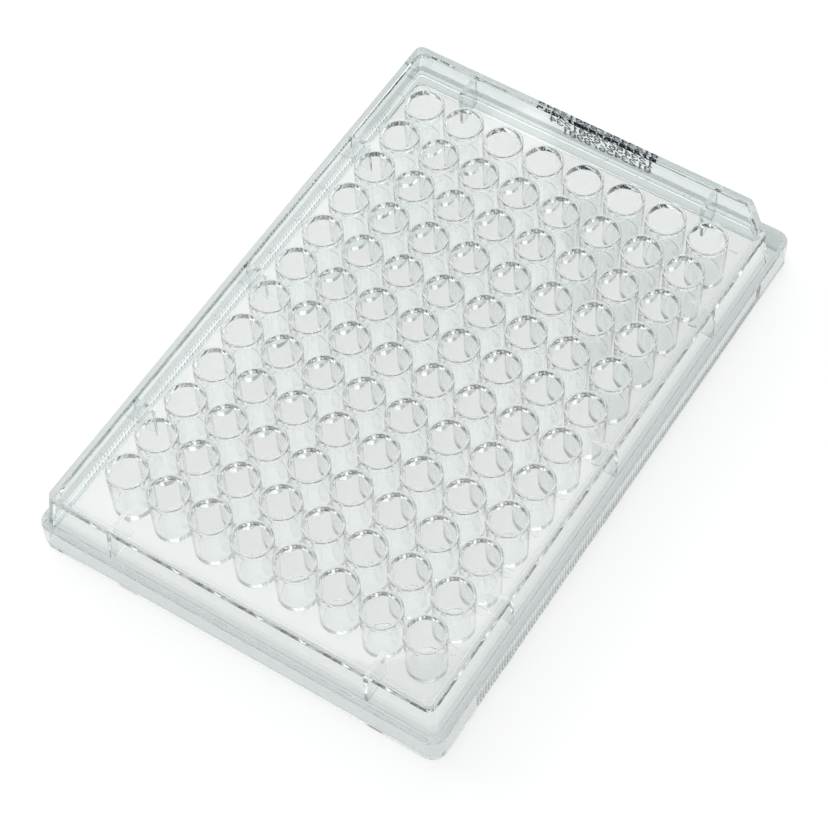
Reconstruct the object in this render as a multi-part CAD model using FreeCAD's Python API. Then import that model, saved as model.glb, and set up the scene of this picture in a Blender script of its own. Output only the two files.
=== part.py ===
import FreeCAD, Part
import math
import os

# A plate with 96 wells, moulded in one shot from clear polystyrene.
# Origin: centre of the footprint, on the plane that the plate stands on.
# +X runs along the numbered columns, +Y points to row A, +Z is up. Millimetres.
# From the bench up: a skirt flange, a ledge for a lid, an upper wall that ends in
# a rim, a deck between the rims, and round wells hanging below the deck.

# ---- well grid ----
COLUMNS = 12
ROWS = 8
WELL_PITCH = 9.0
END_MARGIN = 14.38          # centre of an end column to the end of the flange
SIDE_MARGIN = 11.24         # centre of a side row to the side of the flange

# ---- one well ----
WELL_MOUTH_DIAMETER = 6.86
WELL_FLOOR_DIAMETER = 6.35
WELL_DEPTH = 10.8
WELL_FLOOR_THICKNESS = 1.2
WELL_FLOOR_CLEARANCE = 1.9  # underside of a well above the bench
WELL_WALL_AT_MOUTH = 0.57
WELL_WALL_AT_FLOOR = 0.62
WELL_FLOOR_ROUND = 0.35     # between the floor and the wall, inside
WELL_FOOT_ROUND = 0.4       # between the underside and the wall, outside
WELL_LIP_ROUND = 0.2        # both edges of the raised ring

# ---- deck and rim ----
RING_HEIGHT = 0.5           # the well's ring above the deck
RIM_ABOVE_RINGS = 0.3
DECK_THICKNESS = 1.2
RIM_WIDTH = 1.0
RIM_SLOPE = 0.4             # run of the rim's sloping inner face
WALL_THICKNESS = 1.2
RIM_INSET_X = 2.12          # rim's outer face inside the flange's face, at the ends
RIM_INSET_Y = 2.28          # the same along the sides
RIM_EDGE_ROUND = 0.2
UPPER_CORNER_RADIUS = 1.5
INNER_CORNER_RADIUS = 2.6   # corner of the deck, inside the rim
HOLLOW_CORNER_RADIUS = 0.9  # corner of the space under the deck
CORNER_CUT = 6.0            # legs of the cut at corner A1

# ---- ledge and skirt flange ----
FLANGE_HEIGHT = 6.1
FLANGE_THICKNESS = 1.2
FLANGE_CORNER_RADIUS = 2.8
FLANGE_EDGE_ROUND = 0.4
LEDGE_WIDTH = 1.38
LEDGE_THICKNESS = 1.2

# ---- gussets between the deck and the upper wall ----
GUSSET_THICKNESS = 1.0      # at the deck
GUSSET_FOOT_THICKNESS = 0.7
GUSSET_DEPTH = 7.5          # below the deck
END_GUSSET_LENGTH = 4.8     # from the wall's inner face
SIDE_GUSSET_LENGTH = 3.6
END_GUSSET_STEPS = (-3, 3)  # places in well pitches from the middle
SIDE_GUSSET_STEPS = (-4, 0, 4)

# ---- grip ribs on both long sides of the flange ----
GRIP_PITCH = 0.9
GRIP_DEPTH = 0.2
GRIP_END_MARGIN = 12.5      # end of the ribbed zone to the end of the flange
GRIP_BASE_MARGIN = 0.6
GRIP_LEDGE_MARGIN = 0.7

# ---- levels and half sizes that follow ----
HALF_LENGTH = (COLUMNS - 1) * WELL_PITCH / 2 + END_MARGIN
HALF_WIDTH = (ROWS - 1) * WELL_PITCH / 2 + SIDE_MARGIN
WELL_FLOOR_Z = WELL_FLOOR_CLEARANCE + WELL_FLOOR_THICKNESS
RING_Z = WELL_FLOOR_Z + WELL_DEPTH
DECK_Z = RING_Z - RING_HEIGHT
DECK_UNDERSIDE_Z = DECK_Z - DECK_THICKNESS
RIM_Z = RING_Z + RIM_ABOVE_RINGS
LEDGE_UNDERSIDE_Z = FLANGE_HEIGHT - LEDGE_THICKNESS
BEYOND = 1.0                # how far a cutting solid runs past the face it cuts


def vec(x, y, z=0.0):
    return FreeCAD.Vector(x, y, z)


def corners(half_x, half_y, cut):
    """Corners of a rectangle, anticlockwise; cut is the leg taken off at (-X, +Y)."""
    points = [(-half_x, -half_y), (half_x, -half_y), (half_x, half_y)]
    if cut > 0:
        return points + [(-half_x + cut, half_y), (-half_x, half_y - cut)]
    return points + [(-half_x, half_y)]


def outline(half_x, half_y, radius, z, cut=0.0):
    """A closed wire through those corners at height z, each corner rounded."""
    points = [vec(x, y, z) for x, y in corners(half_x, half_y, cut)]
    count = len(points)
    rounds = []
    for i, corner in enumerate(points):
        back = (points[i - 1] - corner).normalize()
        ahead = (points[(i + 1) % count] - corner).normalize()
        half_angle = back.getAngle(ahead) / 2
        reach = radius / math.tan(half_angle)
        inward = (back + ahead).normalize()
        middle = corner + inward * (radius / math.sin(half_angle) - radius)
        rounds.append((corner + back * reach, middle, corner + ahead * reach))
    edges = []
    for i, (start, middle, end) in enumerate(rounds):
        edges.append(Part.Arc(start, middle, end).toShape())
        edges.append(Part.LineSegment(end, rounds[(i + 1) % count][0]).toShape())
    return Part.Wire(edges)


def tapered(lower, upper):
    """The solid between two outlines of the same kind."""
    return Part.makeLoft([lower, upper], True, True)


def wall_outline(z, inward, radius, cut=0.0):
    """The upper wall's outline at height z, moved inward from its outer face."""
    rise = (z - FLANGE_HEIGHT) / (RIM_Z - FLANGE_HEIGHT)
    half_x = HALF_LENGTH - LEDGE_WIDTH - rise * (RIM_INSET_X - LEDGE_WIDTH) - inward
    half_y = HALF_WIDTH - LEDGE_WIDTH - rise * (RIM_INSET_Y - LEDGE_WIDTH) - inward
    return outline(half_x, half_y, radius, z, cut)


def inner_cut(inward):
    """Leg of the corner cut on an outline that lies inward of the outer one."""
    return CORNER_CUT - inward * (2 - math.sqrt(2))


def skirt_flange():
    """The outer block of the flange, its upper edge rounded."""
    face = Part.Face(outline(HALF_LENGTH, HALF_WIDTH, FLANGE_CORNER_RADIUS, 0))
    block = face.extrude(vec(0, 0, FLANGE_HEIGHT))
    top = max(block.Faces, key=lambda f: f.CenterOfMass.z)
    return block.makeFillet(FLANGE_EDGE_ROUND, top.Edges)


def upper_block():
    """The outer block of the upper wall, up to the rim, with corner A1 cut off."""
    foot = wall_outline(LEDGE_UNDERSIDE_Z, 0, UPPER_CORNER_RADIUS, CORNER_CUT)
    rim = wall_outline(RIM_Z, 0, UPPER_CORNER_RADIUS, CORNER_CUT)
    return tapered(foot, rim)


def deck_recess():
    """The shallow tray inside the rim, with sloping sides."""
    depth = RIM_Z - DECK_Z
    slope = RIM_SLOPE / depth
    levels = ((DECK_Z, RIM_WIDTH + RIM_SLOPE), (RIM_Z + BEYOND, RIM_WIDTH - slope * BEYOND))
    wires = []
    for z, inward in levels:
        half_x = HALF_LENGTH - RIM_INSET_X - inward
        half_y = HALF_WIDTH - RIM_INSET_Y - inward
        cut = inner_cut(inward)
        wires.append(outline(half_x, half_y, INNER_CORNER_RADIUS, z, cut))
    return tapered(*wires)


def round_rim(shell):
    """The shell with the outer and inner edges of the rim's flat top rounded."""
    top = max(shell.Faces, key=lambda f: f.CenterOfMass.z)
    return shell.makeFillet(RIM_EDGE_ROUND, top.Edges)


def gusset(length, wall_at, along, turn):
    """One upright plate from the wall inward, thinner at its foot.

    Drawn on the +X side with its middle at y = along, then turned about Z.
    """
    low, high = DECK_UNDERSIDE_Z - GUSSET_DEPTH, DECK_UNDERSIDE_Z + DECK_THICKNESS / 2
    foot, head = GUSSET_FOOT_THICKNESS / 2, GUSSET_THICKNESS / 2
    x = wall_at - length
    section = [vec(x, along - foot, low), vec(x, along + foot, low),
               vec(x, along + head, high), vec(x, along - head, high)]
    face = Part.Face(Part.makePolygon(section + section[:1]))
    plate = face.extrude(vec(length + FLANGE_THICKNESS + RIM_INSET_X, 0, 0))
    plate.rotate(vec(0, 0), vec(0, 0, 1), turn)
    return plate


def gussets():
    """All the gussets: some at each end, some along each side."""
    end_wall = HALF_LENGTH - RIM_INSET_X - WALL_THICKNESS
    side_wall = HALF_WIDTH - RIM_INSET_Y - WALL_THICKNESS
    plates = []
    for turn in (0, 180):
        for step in END_GUSSET_STEPS:
            plates.append(gusset(END_GUSSET_LENGTH, end_wall, step * WELL_PITCH, turn))
        for step in SIDE_GUSSET_STEPS:
            plates.append(gusset(SIDE_GUSSET_LENGTH, side_wall, step * WELL_PITCH, turn + 90))
    return plates


def hollow():
    """The space under the deck, open at the base, with the gussets left standing."""
    half_x, half_y = HALF_LENGTH - FLANGE_THICKNESS, HALF_WIDTH - FLANGE_THICKNESS
    radius = FLANGE_CORNER_RADIUS - FLANGE_THICKNESS
    skirt = Part.Face(outline(half_x, half_y, radius, -BEYOND))
    skirt = skirt.extrude(vec(0, 0, LEDGE_UNDERSIDE_Z + BEYOND))
    wires = []
    for z in (LEDGE_UNDERSIDE_Z, DECK_UNDERSIDE_Z):
        cut = inner_cut(WALL_THICKNESS)
        wires.append(wall_outline(z, WALL_THICKNESS, HOLLOW_CORNER_RADIUS, cut))
    return skirt.fuse(tapered(*wires)).cut(gussets())


def revolved(points_and_arcs):
    """A solid turned about the Z axis from a closed profile in the XZ plane."""
    return Part.Face(Part.Wire(points_and_arcs)).revolve(vec(0, 0), vec(0, 0, 1), 360)


def line(a, b):
    return Part.LineSegment(vec(a[0], 0, a[1]), vec(b[0], 0, b[1])).toShape()


def quarter(a, b, centre, radius):
    """A rounded edge from a to b, about its centre."""
    across = vec(a[0] + b[0] - 2 * centre[0], 0, a[1] + b[1] - 2 * centre[1]).normalize()
    middle = vec(centre[0], 0, centre[1]) + across * radius
    return Part.Arc(vec(a[0], 0, a[1]), middle, vec(b[0], 0, b[1])).toShape()


def well_tube():
    """The outside of one well: foot, tapering wall and the ring above the deck."""
    foot_radius = WELL_FLOOR_DIAMETER / 2 + WELL_WALL_AT_FLOOR
    ring_radius = WELL_MOUTH_DIAMETER / 2 + WELL_WALL_AT_MOUTH
    foot, lip = WELL_FOOT_ROUND, WELL_LIP_ROUND
    low = WELL_FLOOR_CLEARANCE
    profile = [
        line((0, low), (foot_radius - foot, low)),
        quarter((foot_radius - foot, low), (foot_radius, low + foot),
                (foot_radius - foot, low + foot), foot),
        line((foot_radius, low + foot), (ring_radius, RING_Z - lip)),
        quarter((ring_radius, RING_Z - lip), (ring_radius - lip, RING_Z),
                (ring_radius - lip, RING_Z - lip), lip),
        line((ring_radius - lip, RING_Z), (0, RING_Z)),
        line((0, RING_Z), (0, low)),
    ]
    return revolved(profile)


def well_bore():
    """The space inside one well, with its mouth's edge rounded."""
    floor_radius, mouth_radius = WELL_FLOOR_DIAMETER / 2, WELL_MOUTH_DIAMETER / 2
    turn, lip = WELL_FLOOR_ROUND, WELL_LIP_ROUND
    profile = [
        line((0, WELL_FLOOR_Z), (floor_radius - turn, WELL_FLOOR_Z)),
        quarter((floor_radius - turn, WELL_FLOOR_Z), (floor_radius, WELL_FLOOR_Z + turn),
                (floor_radius - turn, WELL_FLOOR_Z + turn), turn),
        line((floor_radius, WELL_FLOOR_Z + turn), (mouth_radius, RING_Z - lip)),
        quarter((mouth_radius, RING_Z - lip), (mouth_radius + lip, RING_Z),
                (mouth_radius + lip, RING_Z - lip), lip),
        line((mouth_radius + lip, RING_Z), (mouth_radius + lip, RING_Z + BEYOND)),
        line((mouth_radius + lip, RING_Z + BEYOND), (0, RING_Z + BEYOND)),
        line((0, RING_Z + BEYOND), (0, WELL_FLOOR_Z)),
    ]
    return revolved(profile)


def over_grid(shape):
    """A copy of the shape at the centre of every well."""
    copies = []
    for column in range(COLUMNS):
        for row in range(ROWS):
            x = (column - (COLUMNS - 1) / 2) * WELL_PITCH
            y = (row - (ROWS - 1) / 2) * WELL_PITCH
            copies.append(shape.translated(vec(x, y)))
    return copies


def grip_grooves():
    """Saw-tooth prisms that leave fine upright ribs in both long sides."""
    low, high = GRIP_BASE_MARGIN, FLANGE_HEIGHT - GRIP_LEDGE_MARGIN
    zone = 2 * (HALF_LENGTH - GRIP_END_MARGIN)
    teeth = round(zone / GRIP_PITCH)
    start = -teeth * GRIP_PITCH / 2
    cutters = []
    for side in (-1, 1):
        crest = side * HALF_WIDTH
        points = []
        for i in range(teeth):
            points.append(vec(start + i * GRIP_PITCH, crest, low))
            points.append(vec(start + (i + 0.5) * GRIP_PITCH, crest - side * GRIP_DEPTH, low))
        points.append(vec(-start, crest, low))
        points.append(vec(-start, crest + side * BEYOND, low))
        points.append(vec(start, crest + side * BEYOND, low))
        points.append(points[0])
        cutters.append(Part.Face(Part.makePolygon(points)).extrude(vec(0, 0, high - low)))
    return cutters


def well_plate():
    """The whole moulding."""
    shell = skirt_flange().fuse(upper_block())
    shell = round_rim(shell.cut([hollow(), deck_recess()]))
    plate = shell.fuse(over_grid(well_tube()))
    plate = plate.cut(over_grid(well_bore()))
    return plate.cut(grip_grooves())


def overall_size(shape):
    """Length, width and height over the corners of the shape."""
    points = [vertex.Point for vertex in shape.Vertexes]
    return [max(values) - min(values) for values in zip(*points)]


def main():
    os.makedirs("parts", exist_ok=True)
    plate = well_plate()
    print("well_plate: solids", len(plate.Solids), "valid", plate.isValid())
    print("volume %.1f mm3, faces %d" % (plate.Volume, len(plate.Faces)))
    print("size %.2f x %.2f x %.2f mm" % tuple(overall_size(plate)))
    plate.Solids[0].exportStep("parts/well_plate.step")


main()
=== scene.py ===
# %% [markdown]
# # A clear plate with 96 wells
# The object is a shallow tray of clear, hard plastic with 96 little cups in 8 rows
# and 12 columns. A biology lab fills the cups with samples. It is moulded in one
# shot, so it is one piece, and nearly all that the eye sees of it is light that
# bends through its edges and walls.
#
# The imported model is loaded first. It fixes where the plate stands and how large
# it is, and everything below is placed from its box.

import math

import bmesh
import bpy
import mathutils
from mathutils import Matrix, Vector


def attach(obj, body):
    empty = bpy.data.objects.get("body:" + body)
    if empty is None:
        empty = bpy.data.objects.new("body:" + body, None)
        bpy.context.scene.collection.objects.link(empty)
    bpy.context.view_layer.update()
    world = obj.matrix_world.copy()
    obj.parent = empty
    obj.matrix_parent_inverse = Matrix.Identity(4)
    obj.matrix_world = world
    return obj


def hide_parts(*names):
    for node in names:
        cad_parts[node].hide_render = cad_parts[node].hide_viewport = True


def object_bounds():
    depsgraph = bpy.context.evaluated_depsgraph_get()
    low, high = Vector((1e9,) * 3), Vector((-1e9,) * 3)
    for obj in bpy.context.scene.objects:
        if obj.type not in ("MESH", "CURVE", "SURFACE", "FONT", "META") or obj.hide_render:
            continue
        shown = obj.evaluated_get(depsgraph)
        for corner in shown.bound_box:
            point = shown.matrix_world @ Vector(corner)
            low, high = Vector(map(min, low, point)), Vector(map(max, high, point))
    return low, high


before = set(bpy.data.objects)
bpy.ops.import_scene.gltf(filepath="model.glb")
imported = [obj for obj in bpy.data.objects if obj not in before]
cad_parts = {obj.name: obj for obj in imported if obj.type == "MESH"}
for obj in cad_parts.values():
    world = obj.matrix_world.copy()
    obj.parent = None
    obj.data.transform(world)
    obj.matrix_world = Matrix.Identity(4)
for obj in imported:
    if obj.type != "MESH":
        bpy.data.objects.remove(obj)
cad_low, cad_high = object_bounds()
print("frame box", [round(v, 5) for v in cad_low], [round(v, 5) for v in cad_high])

# %% [markdown]
# ## Sizes
# Blender works in metres here, so one millimetre has a name of its own. The outer
# size comes from the frame. The rest are the walls, steps and rounds of the
# moulding, counted from the bench upwards.

# %% Sizes of the plate
MM = 0.001
half_length, half_width, rim_top = cad_high
columns, rows, pitch = 12, 8, 9.0 * MM
ring_below_rim, deck_below_ring = 0.3 * MM, 0.5 * MM
deck_thickness, ledge_thickness, wall = 1.2 * MM, 1.2 * MM, 1.2 * MM
ring_top = rim_top - ring_below_rim
deck_top = ring_top - deck_below_ring
deck_under = deck_top - deck_thickness
ledge_top = 6.1 * MM
ledge_under = ledge_top - ledge_thickness
print("deck from %.2f to %.2f mm" % (deck_under / MM, deck_top / MM))

# %% [markdown]
# ## Picking by place
# An operator works on whatever is selected, so each step below first clears the
# selection and then picks points by where they lie. These few helpers do that, the
# same way as a person would click them in the window.

# %% Helpers for selecting and editing
level_room = 0.004 * MM
weld_room = 0.001 * MM


def only(obj):
    """Make this the one selected and active object."""
    bpy.ops.object.select_all(action="DESELECT")
    obj.select_set(True)
    bpy.context.view_layer.objects.active = obj


def pick(obj, test):
    """In edit mode, select just the points of obj that pass the test."""
    bpy.ops.mesh.select_mode(type="VERT")
    bpy.ops.mesh.select_all(action="DESELECT")
    mesh = bmesh.from_edit_mesh(obj.data)
    for point in mesh.verts:
        point.select = test(point.co)
    mesh.select_flush(True)
    bmesh.update_edit_mesh(obj.data)


def near(value, target):
    return abs(value - target) < level_room


def apply_modifiers(obj):
    only(obj)
    for modifier in list(obj.modifiers):
        bpy.ops.object.modifier_apply(modifier=modifier.name)


def join(first, *others):
    """Join the others into the first object."""
    only(first)
    for other in others:
        other.select_set(True)
    bpy.ops.object.join()
    return first


# %% [markdown]
# ## One well
# A well is a round cup that hangs through the deck, with a low ring round its
# mouth. A lathe shape like this could be spun from a profile. Here a circle is
# extruded and resized ring by ring instead, because that keeps its points in the
# same 48 directions all the way down, and those line up with the square of deck
# that is filled in round it later.

# %% Profile of a well
sides = 48
mouth_radius, floor_radius = 3.43 * MM, 3.175 * MM
ring_radius, foot_radius = 4.0 * MM, 3.795 * MM
floor_top, foot_low = 3.1 * MM, 1.9 * MM
lip, floor_round, foot_round = 0.2 * MM, 0.35 * MM, 0.4 * MM
round_steps = 3


def arc(centre_radius, centre_height, radius, start, end, steps):
    """Points of a rounded edge as (radius, height), from one angle to another."""
    points = []
    for step in range(steps + 1):
        angle = math.radians(start + (end - start) * step / steps)
        points.append((centre_radius + radius * math.cos(angle),
                       centre_height + radius * math.sin(angle)))
    return points


def tube_radius(height):
    """Outer radius of a well at that height: it tapers to its foot."""
    rise = (height - foot_low - foot_round) / (ring_top - lip - foot_low - foot_round)
    return foot_radius + rise * (ring_radius - foot_radius)


above_deck = [(tube_radius(deck_top), deck_top)]
above_deck += arc(ring_radius - lip, ring_top - lip, lip, 0, 90, round_steps)
above_deck += arc(mouth_radius + lip, ring_top - lip, lip, 90, 180, round_steps)
above_deck += arc(floor_radius - floor_round, floor_top + floor_round, floor_round,
                  0, -90, round_steps)
below_deck = [(tube_radius(deck_under), deck_under)]
below_deck += arc(foot_radius - foot_round, foot_low + foot_round, foot_round,
                  0, -90, round_steps)
print("profile points", len(above_deck), "above and", len(below_deck), "below")


# %% Grow a well from its circles
def grow(profile):
    """Extrude a circle from ring to ring of the profile and close its last ring."""
    radius, height = profile[0]
    bpy.ops.mesh.select_all(action="DESELECT")
    bpy.ops.mesh.primitive_circle_add(vertices=sides, radius=radius, location=(0, 0, height))
    for next_radius, next_height in profile[1:]:
        bpy.ops.mesh.extrude_edges_move(
            TRANSFORM_OT_translate={"value": (0, 0, next_height - height)})
        scale = next_radius / radius
        bpy.ops.transform.resize(value=(scale, scale, 1), center_override=(0, 0, 0))
        radius, height = next_radius, next_height
    bpy.ops.mesh.edge_face_add()


def add_deck_square(height):
    """A square of deck round the well at that height, filled up to the circle there."""
    bpy.ops.mesh.select_all(action="DESELECT")
    bpy.ops.mesh.primitive_plane_add(size=pitch, location=(0, 0, height))
    bpy.ops.mesh.delete(type="ONLY_FACE")
    pick(wells, lambda at: near(at.z, height))
    bpy.ops.mesh.fill(use_beauty=True)


bpy.ops.mesh.primitive_plane_add(size=pitch)
wells = bpy.context.object
wells.name = "wells"
bpy.ops.object.mode_set(mode="EDIT")
bpy.ops.mesh.delete(type="VERT")
grow(above_deck)
grow(below_deck)
add_deck_square(deck_top)
add_deck_square(deck_under)
bpy.ops.object.mode_set(mode="OBJECT")
print("one well has", len(wells.data.polygons), "faces")

# %% [markdown]
# ## The field of wells
# The well and its square of deck are one tile. Two Array modifiers lay out 12
# columns and 8 rows of them, and merge the edges where the squares meet, so the
# deck between the wells becomes one skin.

# %% Lay the wells out
tile_seam = 0.002 * MM
wells.location = (-(columns - 1) / 2 * pitch, -(rows - 1) / 2 * pitch, 0)
only(wells)
bpy.ops.object.transform_apply(location=True, rotation=False, scale=False)
for count, step in ((columns, (pitch, 0, 0)), (rows, (0, pitch, 0))):
    bpy.ops.object.modifier_add(type="ARRAY")
    array = wells.modifiers[-1]
    array.count = count
    array.use_relative_offset = False
    array.use_constant_offset = True
    array.constant_offset_displace = step
    array.use_merge_vertices = True
    array.merge_threshold = tile_seam
apply_modifiers(wells)
print("the field has", len(wells.data.vertices), "points")

# %% [markdown]
# ## The tray round the wells
# Rim, wall, ledge and skirt follow one route round the plate. Cut across, that
# route is a profile: down the rim's slope, over the rim, down the wall, across the
# ledge for the lid, over its rounded edge, down the skirt, and back up inside. Each
# corner of the profile becomes one closed outline, and neighbouring outlines are
# bridged, or filled where both lie at one level, because a bridge between level
# loops can start at the wrong corner and twist. A swept profile would pinch at the
# corners; outlines of their own keep each corner's true radius, and let the skirt
# stay square where the upper wall has its cut corner at well A1.

# %% Draw one outline
corner_steps = 8
cut_leg = 6.0 * MM


def bevel_points(obj, test, reach, steps):
    pick(obj, test)
    bpy.ops.mesh.bevel(offset=reach, segments=steps, affect="VERTICES", profile=0.5)


def add_outline(half_x, half_y, height, radius, leg=0.0):
    """A closed line of points round the plate, with round corners and A1 cut off."""
    bpy.ops.mesh.primitive_plane_add(size=2, location=(0, 0, height))
    line = bpy.context.object
    line.scale = (half_x, half_y, 1)
    bpy.ops.object.transform_apply(location=True, rotation=False, scale=True)
    bpy.ops.object.mode_set(mode="EDIT")
    if leg:
        bevel_points(line, lambda at: at.x < 0 < at.y, leg, 1)
        shallow = radius * math.tan(math.radians(22.5))
        bevel_points(line, lambda at: at.x < 0 < at.y, shallow, corner_steps // 2)
    else:
        bevel_points(line, lambda at: at.x < 0 < at.y, radius, corner_steps)
    bevel_points(line, lambda at: at.x > 0 or at.y < 0, radius, corner_steps)
    bpy.ops.mesh.select_all(action="SELECT")
    bpy.ops.mesh.delete(type="ONLY_FACE")
    bpy.ops.object.mode_set(mode="OBJECT")
    return line


def inner_leg(inward):
    """Leg of the cut corner on an outline that lies inward of the outer one."""
    return cut_leg - inward * (2 - math.sqrt(2))


# %% List the outlines of the profile
wall_foot_in = 1.38 * MM
rim_in_x, rim_in_y = 2.12 * MM, 2.28 * MM
rim_flat, rim_slope, rim_round = 1.0 * MM, 0.4 * MM, 0.15 * MM
wall_corner, deck_corner, skirt_corner = 1.5 * MM, 2.6 * MM, 2.8 * MM
ledge_round, foot_edge, foot_edge_steps = 0.4 * MM, 0.12 * MM, 2
wall_foot_round = 0.2 * MM
inner_round_shift = rim_round * 0.3


def upper(height, inward, radius):
    """Outline of the upper wall at that height, moved inward from its outer face."""
    rise = (height - ledge_top) / (rim_top - ledge_top)
    half_x = half_length - wall_foot_in - rise * (rim_in_x - wall_foot_in) - inward
    half_y = half_width - wall_foot_in - rise * (rim_in_y - wall_foot_in) - inward
    return add_outline(half_x, half_y, height, radius, inner_leg(inward))


def rim(height, inward, radius):
    return add_outline(half_length - rim_in_x - inward, half_width - rim_in_y - inward,
                       height, radius, inner_leg(inward))


def skirt(height, inward):
    return add_outline(half_length - inward, half_width - inward, height,
                       max(skirt_corner - inward, wall / 2))


route = [rim(deck_top, rim_flat + rim_slope, deck_corner)]
for inward, height in arc(rim_flat + inner_round_shift, rim_top - rim_round, rim_round,
                          0, 90, round_steps):
    route.append(rim(height, inward, deck_corner - rim_slope))
for inward, height in arc(rim_round, rim_top - rim_round, rim_round, 90, 180, round_steps):
    route.append(rim(height, inward, wall_corner))
for out, height in arc(wall_foot_round, ledge_top + wall_foot_round, wall_foot_round,
                       180, 270, round_steps):
    route.append(upper(height, -out, wall_corner))
for inward, height in arc(ledge_round, ledge_top - ledge_round, ledge_round,
                          90, 180, round_steps):
    route.append(skirt(height, inward))
for inward, height in arc(foot_edge, foot_edge, foot_edge, 180, 270, foot_edge_steps):
    route.append(skirt(height, inward))
route.append(skirt(0.0, wall))
route.append(skirt(ledge_under, wall))
route.append(upper(ledge_under, wall, wall_corner - wall / 2))
route.append(upper(deck_under, wall, wall_corner - wall / 2))
print("outlines on the route:", len(route))

# %% Bridge the outlines into the tray
sizes = [len(line.data.vertices) for line in route]
heights = [line.data.vertices[0].co.z for line in route]
tray = route[0]
tray.name = "tray"
for line in route[1:]:
    join(tray, line)


def pick_numbers(obj, numbers):
    """In edit mode, select the points with these numbers."""
    bpy.ops.mesh.select_mode(type="VERT")
    bpy.ops.mesh.select_all(action="DESELECT")
    mesh = bmesh.from_edit_mesh(obj.data)
    mesh.verts.ensure_lookup_table()
    for number in numbers:
        mesh.verts[number].select = True
    mesh.select_flush(True)
    bmesh.update_edit_mesh(obj.data)


bpy.ops.object.mode_set(mode="EDIT")
for level, connect in ((False, bpy.ops.mesh.bridge_edge_loops), (True, bpy.ops.mesh.fill)):
    for i in range(len(sizes) - 1):
        if near(heights[i], heights[i + 1]) == level:
            first = sum(sizes[:i])
            pick_numbers(tray, range(first, first + sizes[i] + sizes[i + 1]))
            connect()
bpy.ops.object.mode_set(mode="OBJECT")
print("the tray has", len(tray.data.polygons), "faces")

# %% [markdown]
# ## One skin
# The field of wells and the tray meet in the deck's margin, above and below. Both
# margins are flat, with a square hole on the inside and a round-cornered edge on
# the outside, so each is filled between its two open edges.

# %% Join the wells to the tray
plate = join(wells, tray)
plate.name = "well_plate_clear"
plate.data.name = "well_plate_clear"
bpy.ops.object.mode_set(mode="EDIT")
for height in (deck_top, deck_under):
    bpy.ops.mesh.select_mode(type="EDGE")
    bpy.ops.mesh.select_all(action="DESELECT")
    mesh = bmesh.from_edit_mesh(plate.data)
    for edge in mesh.edges:
        edge.select = edge.is_boundary and all(near(end.co.z, height) for end in edge.verts)
    bmesh.update_edit_mesh(plate.data)
    bpy.ops.mesh.fill(use_beauty=True)
bpy.ops.mesh.select_all(action="SELECT")
bpy.ops.mesh.remove_doubles(threshold=weld_room)
bpy.ops.mesh.normals_make_consistent(inside=False)
bpy.ops.object.mode_set(mode="OBJECT")


def open_edges(obj):
    mesh = bmesh.new()
    mesh.from_mesh(obj.data)
    count = sum(not edge.is_manifold for edge in mesh.edges)
    mesh.free()
    return count


print("open edges", open_edges(plate), "faces", len(plate.data.polygons))

# %% [markdown]
# ## Gussets, grip ribs and raised marks
# These are small shapes that grow out of the plate or are cut into it. Laid over
# it as loose pieces they would show: light bends at every surface it meets, so a
# second skin inside the plastic reads as a crack. They are joined with the Boolean
# modifier, which leaves a single skin.

# %% A helper for joining and cutting
def combine(obj, tool, operation):
    """Join the tool to the object, or cut it away, and remove the tool."""
    only(obj)
    bpy.ops.object.modifier_add(type="BOOLEAN")
    boolean = obj.modifiers[-1]
    boolean.object = tool
    boolean.operation = operation
    boolean.solver = "MANIFOLD"
    bpy.ops.object.modifier_apply(modifier=boolean.name)
    bpy.data.objects.remove(tool)
    print(operation.lower(), "leaves", len(obj.data.polygons), "faces")


def place(obj, at, turn=0.0, size=(1, 1, 1)):
    """Move a finished part of the shape to its place, and put the place in its mesh."""
    obj.location = at
    obj.rotation_euler = (0, 0, turn)
    obj.scale = size
    only(obj)
    bpy.ops.object.transform_apply(location=True, rotation=True, scale=True)
    return obj


# %% Gussets under the deck
gusset_drop = 7.5 * MM
gusset_top_width, gusset_foot_width = 1.0 * MM, 0.7 * MM
end_gusset, side_gusset = 4.8 * MM, 3.6 * MM
sunk = 0.6 * MM
end_steps, side_steps = (-3, 3), (-4, 0, 4)


def add_gusset(length, wall_at, along, turn):
    """An upright plate from the wall inward, a little thinner at its foot."""
    bpy.ops.mesh.primitive_cube_add(size=1)
    gusset = bpy.context.object
    gusset.scale = (length + sunk, gusset_top_width, gusset_drop + sunk)
    bpy.ops.object.transform_apply(location=False, rotation=False, scale=True)
    bpy.ops.object.mode_set(mode="EDIT")
    pick(gusset, lambda at: at.z < 0)
    bpy.ops.transform.resize(value=(1, gusset_foot_width / gusset_top_width, 1))
    bpy.ops.object.mode_set(mode="OBJECT")
    reach = wall_at + sunk - (length + sunk) / 2
    height = deck_under + sunk - (gusset_drop + sunk) / 2
    across, forward = math.sin(turn), math.cos(turn)
    spot = (reach * forward - along * across, reach * across + along * forward, height)
    return place(gusset, spot, turn)


end_wall = half_length - rim_in_x - wall
side_wall = half_width - rim_in_y - wall
gussets = []
for steps in end_steps:
    gussets.append(add_gusset(end_gusset, end_wall, steps * pitch, 0))
    gussets.append(add_gusset(end_gusset, end_wall, steps * pitch, math.pi))
for steps in side_steps:
    gussets.append(add_gusset(side_gusset, side_wall, steps * pitch, math.pi / 2))
    gussets.append(add_gusset(side_gusset, side_wall, steps * pitch, -math.pi / 2))
combine(plate, join(*gussets), "UNION")

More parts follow.
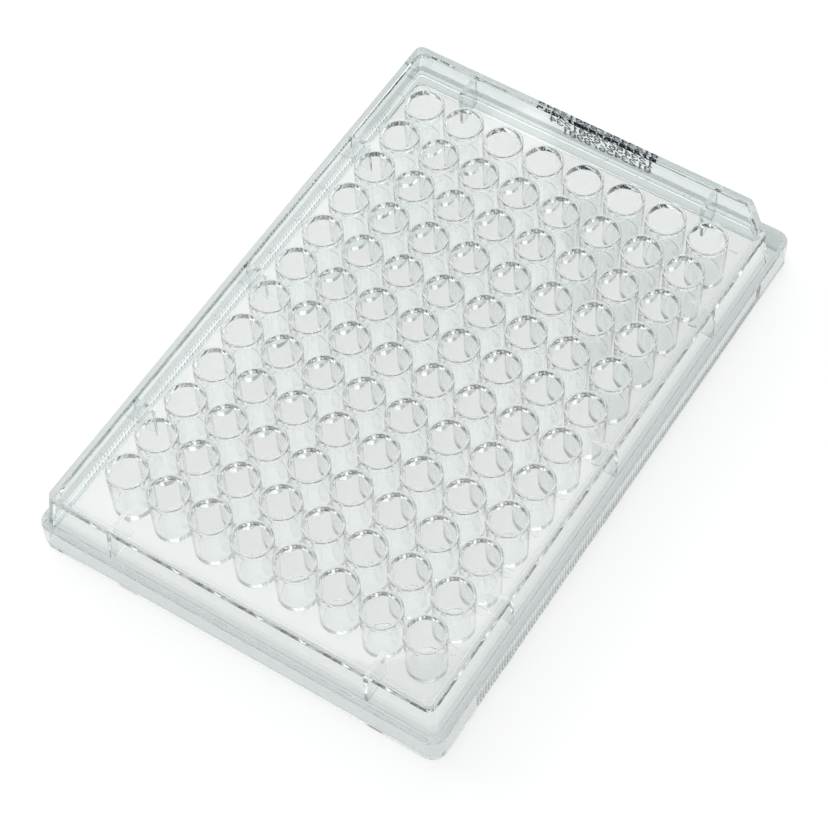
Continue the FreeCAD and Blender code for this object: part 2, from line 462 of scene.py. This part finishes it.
# %% Grip ribs on the long sides
rib_pitch, groove_width, groove_depth = 0.9 * MM, 0.8 * MM, 0.2 * MM
rib_margin, rib_low, rib_high = 12.5 * MM, 0.6 * MM, 5.4 * MM
ribs = round(2 * (half_length - rib_margin) / rib_pitch)
bpy.ops.mesh.primitive_cylinder_add(vertices=4, radius=1, depth=rib_high - rib_low,
                                    location=(0, 0, (rib_high + rib_low) / 2))
groove = bpy.context.object
place(groove, (-(ribs - 1) / 2 * rib_pitch, -half_width, (rib_high + rib_low) / 2), 0,
      (groove_width / 2, groove_depth, 1))
for count, step in ((ribs, (rib_pitch, 0, 0)), (2, (0, 2 * half_width, 0))):
    bpy.ops.object.modifier_add(type="ARRAY")
    array = groove.modifiers[-1]
    array.count = count
    array.use_relative_offset = False
    array.use_constant_offset = True
    array.constant_offset_displace = step
apply_modifiers(groove)
combine(plate, groove, "DIFFERENCE")

# %% Raised letters and numbers on the deck
mark_rise, mark_sunk = 0.12 * MM, 0.05 * MM
capital_share = 0.73
letter_height, number_height = 3.0 * MM, 2.0 * MM
letters_x, numbers_y = -57.0 * MM, (-37.1 * MM, 36.9 * MM)


def add_mark(text, x, y, height):
    """A raised letter or number on the deck, as a closed mesh."""
    bpy.ops.object.text_add()
    mark = bpy.context.object
    mark.data.body = text
    mark.data.align_x = "CENTER"
    mark.data.align_y = "CENTER"
    mark.data.size = height / capital_share
    mark.data.extrude = (mark_rise + mark_sunk) / 2
    mark.data.resolution_u = 3
    bpy.ops.object.convert(target="MESH")
    mark = bpy.context.object
    bpy.ops.object.mode_set(mode="EDIT")
    bpy.ops.mesh.select_all(action="SELECT")
    bpy.ops.mesh.remove_doubles(threshold=weld_room)
    bpy.ops.object.mode_set(mode="OBJECT")
    return place(mark, (x, y, deck_top + (mark_rise - mark_sunk) / 2))


marks = []
for row in range(rows):
    y = ((rows - 1) / 2 - row) * pitch
    marks.append(add_mark("ABCDEFGH"[row], letters_x, y, letter_height))
for column in range(columns):
    x = (column - (columns - 1) / 2) * pitch
    for y in numbers_y:
        marks.append(add_mark(str(column + 1), x, y, number_height))
combine(plate, join(*marks), "UNION")
print("open edges", open_edges(plate))

# %% [markdown]
# ## Smooth rounds, flat flats
# Clear plastic shows every wrong normal as a warp in what is behind it. Edges under
# 32 degrees are shaded smooth, and a Weighted Normal modifier then makes the large
# flat faces keep their own normal right up to the rounds beside them.

# %% Shade the plate
smooth_under = math.radians(32)
only(plate)
bpy.ops.object.shade_smooth_by_angle(angle=smooth_under)
bpy.ops.object.modifier_add(type="WEIGHTED_NORMAL")
plate.modifiers[-1].keep_sharp = True
apply_modifiers(plate)
print("sharp edges", sum(edge.use_edge_sharp for edge in plate.data.edges))

# %% [markdown]
# ## The batch print
# An ink-jet marks each plate on the outside of its short wall, with rows of dots
# that form characters. The print here is plain digits that only count, in three
# rows. One dot is made, a thin disc sunk halfway into the wall so that no air lies
# between ink and plastic, and it is copied to each place of a five by seven grid.

# %% Dots of the digits
digit_rows = {
    "0": "01110 10001 10011 10101 11001 10001 01110",
    "1": "00100 01100 00100 00100 00100 00100 01110",
    "2": "01110 10001 00001 00110 01000 10000 11111",
    "3": "01110 10001 00001 00110 00001 10001 01110",
    "4": "00010 00110 01010 10010 11111 00010 00010",
    "5": "11111 10000 11110 00001 00001 10001 01110",
    "6": "00110 01000 10000 11110 10001 10001 01110",
    "7": "11111 00001 00010 00100 01000 01000 01000",
    "8": "01110 10001 10001 01110 10001 10001 01110",
    "9": "01110 10001 10001 01111 00001 00010 01100",
}
dot_step, dot_radius, dot_thickness = 0.28 * MM, 0.22 * MM, 0.05 * MM
print_lines = ("0123456789012345", "12345678901234", "012345678901")
print_start, print_top, line_step = 13.6 * MM, 7.4 * MM, 2.2 * MM
digit_advance, line_indent = 6, 2

places = []
for number, text in enumerate(print_lines):
    for index, digit in enumerate(text):
        for down, bits in enumerate(digit_rows[digit].split()):
            for along, bit in enumerate(bits):
                if bit == "1":
                    across = index * digit_advance + along + number * line_indent
                    places.append((across * dot_step,
                                   print_top - number * line_step - down * dot_step))
print("dots", len(places))

# %% Print them flat, one dot after another
bpy.ops.object.select_all(action="DESELECT")
bpy.ops.mesh.primitive_cylinder_add(vertices=6, radius=dot_radius, depth=dot_thickness,
                                    location=(places[0][0], places[0][1], 0))
ink = bpy.context.object
ink.name = "batch_print"
ink.data.name = "batch_print"
bpy.ops.object.transform_apply(location=True, rotation=True, scale=True)
bpy.ops.object.mode_set(mode="EDIT")
bpy.ops.mesh.select_all(action="SELECT")
here = places[0]
for there in places[1:]:
    bpy.ops.mesh.duplicate_move(
        TRANSFORM_OT_translate={"value": (there[0] - here[0], there[1] - here[1], 0)})
    here = there
bpy.ops.object.mode_set(mode="OBJECT")
print("batch print:", len(ink.data.polygons), "faces")

# %% [markdown]
# The print lies flat so far, its lines along X and its height along Y. It is stood
# up against the outside of the wall at column 1 and leaned back as far as that wall
# leans, so that it reads from outside the plate.

# %% Stand the print against the wall
wall_lean = math.atan((rim_in_x - wall_foot_in) / (rim_top - ledge_top))
ink.rotation_euler = (math.pi / 2 - wall_lean, 0, -math.pi / 2)
ink.location = (-(half_length - wall_foot_in), print_start, ledge_top)
only(ink)
bpy.ops.object.transform_apply(location=True, rotation=True, scale=True)
heights = [point.co.z for point in ink.data.vertices]
print("the print reaches from z %.2f to %.2f mm" % (min(heights) / MM, max(heights) / MM))

# %% [markdown]
# ## Clear polystyrene
# Polystyrene lets light through and bends it strongly, so its shader is a
# transmission of 1 with an index of refraction of 1.59. Real mouldings aren't
# perfect: the melt cools unevenly and leaves slow waves and a faint cast. Noise
# gives the colour a slight drift, the roughness a trace of haze, and the surface
# waves too low to feel, which is what keeps it from looking like cut glass. The
# flange that the plate stands on is painted a shade deeper than the rest, as
# painted shade for the shadow under the skirt, and the wall above it fades back
# to clear on its way up.

# %% Helpers for materials
def new_material(name):
    material = bpy.data.materials.new(name)
    material.use_nodes = True
    return material, material.node_tree.nodes, material.node_tree.links


def add_noise(nodes, links, scale, detail):
    """Noise in the object's own coordinates."""
    place_node = nodes.new("ShaderNodeTexCoord")
    noise = nodes.new("ShaderNodeTexNoise")
    noise.inputs["Scale"].default_value = scale
    noise.inputs["Detail"].default_value = detail
    links.new(place_node.outputs["Object"], noise.inputs["Vector"])
    return noise.outputs["Fac"]


noise_low, noise_high = 0.35, 0.65


def blend_colours(nodes, links, factor, first, second):
    """One colour where the noise is low, the other where it is high."""
    ramp = nodes.new("ShaderNodeValToRGB")
    ramp.color_ramp.elements[0].position = noise_low
    ramp.color_ramp.elements[1].position = noise_high
    ramp.color_ramp.elements[0].color = (*first, 1)
    ramp.color_ramp.elements[1].color = (*second, 1)
    links.new(factor, ramp.inputs["Fac"])
    return ramp.outputs["Color"]


def remap(nodes, links, value, start, end, low, high):
    """The value's range from start to end spread from low to high."""
    spread = nodes.new("ShaderNodeMapRange")
    spread.inputs["From Min"].default_value = start
    spread.inputs["From Max"].default_value = end
    spread.inputs["To Min"].default_value = low
    spread.inputs["To Max"].default_value = high
    links.new(value, spread.inputs["Value"])
    return spread.outputs["Result"]


def calculate(nodes, links, operation, first, second=None):
    """A Math node on a socket and, where there is one, a second socket or number."""
    math_node = nodes.new("ShaderNodeMath")
    math_node.operation = operation
    links.new(first, math_node.inputs[0])
    if isinstance(second, float):
        math_node.inputs[1].default_value = second
    elif second is not None:
        links.new(second, math_node.inputs[1])
    return math_node.outputs["Value"]


# %% Polystyrene
clear_dark, clear_light = (0.925, 0.948, 0.942), (0.940, 0.958, 0.953)
# Painted shade: the flange and the low wall near the plate's edge get a darker base colour
# for the shadow under the skirt.
flange_painted_shade = (0.71, 0.757, 0.752, 1)
smoothest, haziest = 0.012, 0.035
painted_shade_from, painted_shade_full = -4.8 * MM, -3.8 * MM
painted_shade_low, painted_shade_high, painted_shade_left = 5.5 * MM, 9.0 * MM, 0.35
polystyrene, nodes, links = new_material("clear_polystyrene")
shader = nodes["Principled BSDF"]
shader.inputs["Transmission Weight"].default_value = 1.0
shader.inputs["IOR"].default_value = 1.59
cloud = add_noise(nodes, links, 45, 2)
clear = blend_colours(nodes, links, cloud, clear_dark, clear_light)
links.new(remap(nodes, links, cloud, noise_low, noise_high, smoothest, haziest),
          shader.inputs["Roughness"])
where = nodes.new("ShaderNodeSeparateXYZ")
links.new(nodes.new("ShaderNodeTexCoord").outputs["Object"], where.inputs["Vector"])
outward = [calculate(nodes, links, "SUBTRACT",
                     calculate(nodes, links, "ABSOLUTE", where.outputs[axis]), half)
           for axis, half in (("X", half_length), ("Y", half_width))]
outward = calculate(nodes, links, "MAXIMUM", *outward)
# Masks of the painted shade: near the outer edge, and low down, fading towards the top of
# the wall.
edge_shade_zone = remap(nodes, links, outward, painted_shade_from, painted_shade_full, 0, 1)
low_shade_zone = remap(nodes, links, where.outputs["Z"], painted_shade_low, painted_shade_high, 1, painted_shade_left)
painted_shade_mix = nodes.new("ShaderNodeMix")
painted_shade_mix.data_type = "RGBA"
painted_shade_mix.inputs["B"].default_value = flange_painted_shade
links.new(calculate(nodes, links, "MULTIPLY", edge_shade_zone, low_shade_zone), painted_shade_mix.inputs["Factor"])
links.new(clear, painted_shade_mix.inputs["A"])
links.new(painted_shade_mix.outputs["Result"], shader.inputs["Base Color"])
waves = nodes.new("ShaderNodeBump")
waves.inputs["Strength"].default_value = 0.15
waves.inputs["Distance"].default_value = 0.05 * MM
links.new(add_noise(nodes, links, 220, 1), waves.inputs["Height"])
links.new(waves.outputs["Normal"], shader.inputs["Normal"])
plate.data.materials.clear()
plate.data.materials.append(polystyrene)

# %% Ink
navy_dark, navy_light = (0.001, 0.005, 0.060), (0.003, 0.013, 0.110)
ink_blue, nodes, links = new_material("ink_jet_blue")
shader = nodes["Principled BSDF"]
shader.inputs["Roughness"].default_value = 0.55
shader.inputs["Specular IOR Level"].default_value = 0.1
speckle = add_noise(nodes, links, 900, 2)
links.new(blend_colours(nodes, links, speckle, navy_dark, navy_light),
          shader.inputs["Base Color"])
ink.data.materials.clear()
ink.data.materials.append(ink_blue)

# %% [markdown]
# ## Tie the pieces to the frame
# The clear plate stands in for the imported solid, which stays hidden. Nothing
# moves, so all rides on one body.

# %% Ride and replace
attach(plate, "root")
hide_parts("well_plate")
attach(ink, "root")
print("pieces", plate.name, ink.name)

# %% [markdown]
# ## Table, light and camera
# The plate stands on a plain white table. Clear plastic only shows what it bends
# and reflects, so the room matters. Its walls are dim, which draws the dark lines
# along rims and rings. The ceiling glows softly overhead. One soft box stands on
# the left, and one opposite the camera, which lies as a sheen over the near part of
# the deck. The side of the room behind the plate glows too, high up and low down,
# and shows as the white crescent high in each well. The table adds white of its
# own for the rays that come from the camera, straight, mirrored or through the
# plastic, so that it looks white and still keeps the plate's shadow.

# %% Table
table_size, table_drop, table_glow = 6, 0.02 * MM, 0.73
paint_lit, paint_seen = (0.80, 0.80, 0.80, 1), (0.50, 0.50, 0.50, 1)
bpy.ops.object.select_all(action="DESELECT")
bpy.ops.mesh.primitive_plane_add(size=table_size, location=(0, 0, -table_drop))
table = bpy.context.object
table.name = "table"
white, nodes, links = new_material("white_table")
nodes.clear()
path = nodes.new("ShaderNodeLightPath")
seen = path.outputs["Is Camera Ray"]
for ray in ("Is Glossy Ray", "Is Transmission Ray"):
    seen = calculate(nodes, links, "MAXIMUM", seen, path.outputs[ray])
paint = nodes.new("ShaderNodeMix")
paint.data_type = "RGBA"
paint.inputs["A"].default_value = paint_lit
paint.inputs["B"].default_value = paint_seen
links.new(seen, paint.inputs["Factor"])
matt = nodes.new("ShaderNodeBsdfDiffuse")
links.new(paint.outputs["Result"], matt.inputs["Color"])
lift = nodes.new("ShaderNodeEmission")
links.new(calculate(nodes, links, "MULTIPLY", seen, table_glow), lift.inputs["Strength"])
both = nodes.new("ShaderNodeAddShader")
links.new(matt.outputs["BSDF"], both.inputs[0])
links.new(lift.outputs["Emission"], both.inputs[1])
output = nodes.new("ShaderNodeOutputMaterial")
links.new(both.outputs["Shader"], output.inputs["Surface"])
table.data.materials.append(white)

# %% Sky
scene = bpy.context.scene
sky = bpy.data.worlds.new("studio_sky")
sky.use_nodes = True
scene.world = sky
nodes, links = sky.node_tree.nodes, sky.node_tree.links
way = nodes.new("ShaderNodeTexCoord").outputs["Generated"]


def toward(direction, start, end, low, high):
    """Light that goes from low to high as the view turns to that direction."""
    along = nodes.new("ShaderNodeVectorMath")
    along.operation = "DOT_PRODUCT"
    along.inputs[1].default_value = direction
    links.new(way, along.inputs[0])
    light = remap(nodes, links, along.outputs["Value"], start, end, low, high)
    light.node.interpolation_type = "SMOOTHSTEP"
    return light


room_light = 0.12
up, overhead = (0, 0, 1), (0.195, 0.071, 0.978)
behind_high, behind_low = (-0.35, -0.54, 0.766), (-0.6, -0.8, 0)
high_glow = toward(behind_high, 0.60, 0.92, 0, 0.40)
low_glow = calculate(nodes, links, "MULTIPLY", toward(behind_low, 0.40, 0.75, 0, 1.6),
                     toward(up, 0.40, 0.68, 1, 0))
top_glow = toward(overhead, 0.84, 1.0, 0, 1.4)
glow = calculate(nodes, links, "ADD", calculate(nodes, links, "ADD", high_glow, low_glow),
                 top_glow)
links.new(calculate(nodes, links, "ADD", glow, room_light),
          nodes["Background"].inputs["Strength"])
nodes["Background"].inputs["Color"].default_value = (0.97, 1.0, 1.0, 1)

# %% Lamps
def add_softbox(name, spot, aim, width, depth, power):
    """A rectangular area lamp at spot that faces aim."""
    bpy.ops.object.light_add(type="AREA", location=spot)
    lamp = bpy.context.object
    lamp.name = name
    lamp.data.shape = "RECTANGLE"
    lamp.data.size, lamp.data.size_y = width, depth
    lamp.data.energy = power
    facing = mathutils.Vector(aim) - mathutils.Vector(spot)
    lamp.rotation_euler = facing.to_track_quat("-Z", "Y").to_euler()
    return lamp


add_softbox("softbox_left", (0, -0.695, 0.648), (0, 0, 0), 0.40, 0.28, 0.63)
add_softbox("softbox_behind", (-0.42, -0.36, 0.85), (0, 0, 0), 0.30, 0.30, 0.28)

# %% Camera
camera_spot = (0.22605, 0.15411, 0.40764)
camera_turn = (33.393, 1.538, 122.487)
lens = 113.898
bpy.ops.object.camera_add(location=camera_spot,
                          rotation=[math.radians(angle) for angle in camera_turn])
camera = bpy.context.object
camera.data.lens = lens
camera.data.sensor_width = 36
scene.camera = camera

# %% [markdown]
# ## Render settings of the object
# Light passes through a dozen walls on its way through a row of wells, and is
# mirrored inside the plastic many times in the rings and rims. With the usual
# limits of 12 bounces, 4 of them mirrored, those places go black, so more are
# allowed.

# %% Bounces and colour
bounces = 32
scene.cycles.max_bounces = bounces
scene.cycles.transmission_bounces = bounces
scene.cycles.glossy_bounces = bounces
scene.view_settings.view_transform = "Standard"
